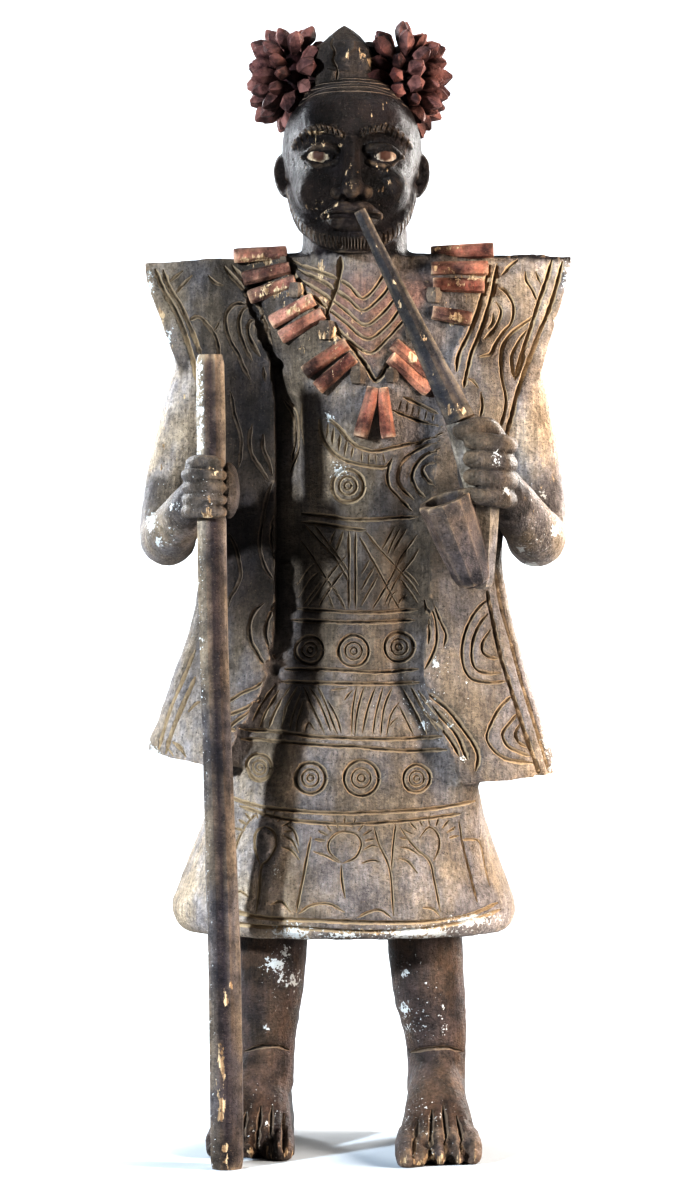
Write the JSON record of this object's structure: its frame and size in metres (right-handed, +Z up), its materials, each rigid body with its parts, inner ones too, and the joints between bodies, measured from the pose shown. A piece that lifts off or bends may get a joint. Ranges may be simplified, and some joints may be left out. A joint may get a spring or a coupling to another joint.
{
  "type": "carved standing figure",
  "caption": "Carved wooden standing figure in an open coat and bell skirt, holding a tall staff and a long pipe, for display on its feet.",
  "frame": {"origin": "on the floor under the middle of the whole object's box", "axes": "+Z up, the figure looks along -Y, +X to the viewer's right"},
  "size_m": [0.4657, 0.2932, 1.1963],
  "materials": {
    "carved_wood": "dark patinated carved wood, dusty, with worn edges and flaked paint",
    "staff_wood": "hewn stick, dark patina, raw wood showing along one side",
    "stem_wood": "dark handled wood with a slight sheen"
  },
  "bodies": {
    "root": {"figure": "carved_wood", "staff": "staff_wood", "pipe_stem": "stem_wood"}
  },
  "joints": []
}
